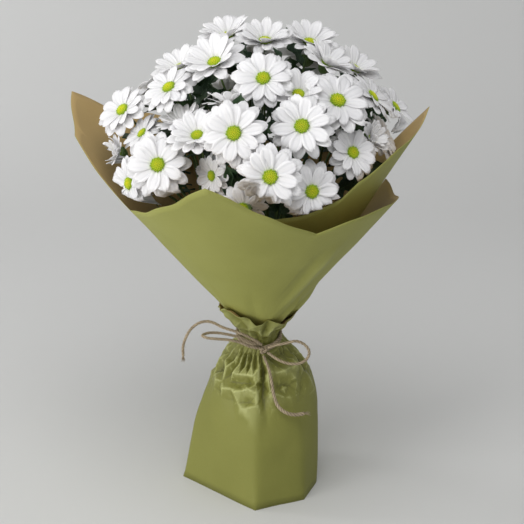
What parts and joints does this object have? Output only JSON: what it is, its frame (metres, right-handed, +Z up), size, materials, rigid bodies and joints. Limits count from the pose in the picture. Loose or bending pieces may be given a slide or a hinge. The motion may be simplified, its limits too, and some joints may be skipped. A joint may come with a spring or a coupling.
{
  "type": "bunch of chrysanthemums",
  "caption": "Hand-tied bunch of white daisy chrysanthemums in a flared green paper wrap with a gathered paper foot and a twine bow, standing on its stems.",
  "frame": {"origin": "cut end of the upright middle stem, on the surface that the bunch stands on", "axes": "+Z up along the middle stem, -Y towards the front, +X to the right as seen from the front"},
  "size_m": [0.3529, 0.3208, 0.4695],
  "materials": {
    "petals": "matte white petals with yellow-green discs",
    "stems": "satin green stalk",
    "leaves": "satin dark green leaf",
    "paper": "matte olive green outside, natural brown inside",
    "twine": "rough natural jute"
  },
  "bodies": {
    "root": {"bloom_01": "petals", "bloom_02": "petals", "bloom_03": "petals", "bloom_04": "petals", "bloom_05": "petals", "bloom_06": "petals", "bloom_07": "petals", "bloom_08": "petals", "bloom_09": "petals", "bloom_10": "petals", "bloom_11": "petals", "bloom_12": "petals", "bloom_13": "petals", "bloom_14": "petals", "bloom_15": "petals", "bloom_16": "petals", "bloom_17": "petals", "bloom_18": "petals", "bloom_19": "petals", "bloom_20": "petals", "bloom_21": "petals", "bloom_22": "petals", "bloom_23": "petals", "bloom_24": "petals", "bloom_25": "petals", "bloom_26": "petals", "bloom_27": "petals", "bloom_28": "petals", "bloom_29": "petals", "bloom_30": "petals", "bloom_31": "petals", "bloom_32": "petals", "bloom_33": "petals", "bloom_34": "petals", "bloom_35": "petals", "bloom_36": "petals", "bloom_37": "petals", "stem_middle": "stems", "stem_1": "stems", "stem_2": "stems", "stem_3": "stems", "stem_4": "stems", "stem_5": "stems", "stem_6": "stems", "stem_7": "stems", "leaf_1": "leaves", "leaf_2": "leaves", "leaf_3": "leaves", "leaf_4": "leaves", "leaf_5": "leaves", "stem_tie": "twine", "paper_wrap_inner": "paper", "paper_wrap_outer": "paper", "paper_skirt": "paper", "twine_binding": "twine", "twine_knot": "twine", "twine_loop_right": "twine", "twine_loop_left": "twine", "twine_tail_left": "twine", "twine_tail_right": "twine"}
  },
  "joints": []
}
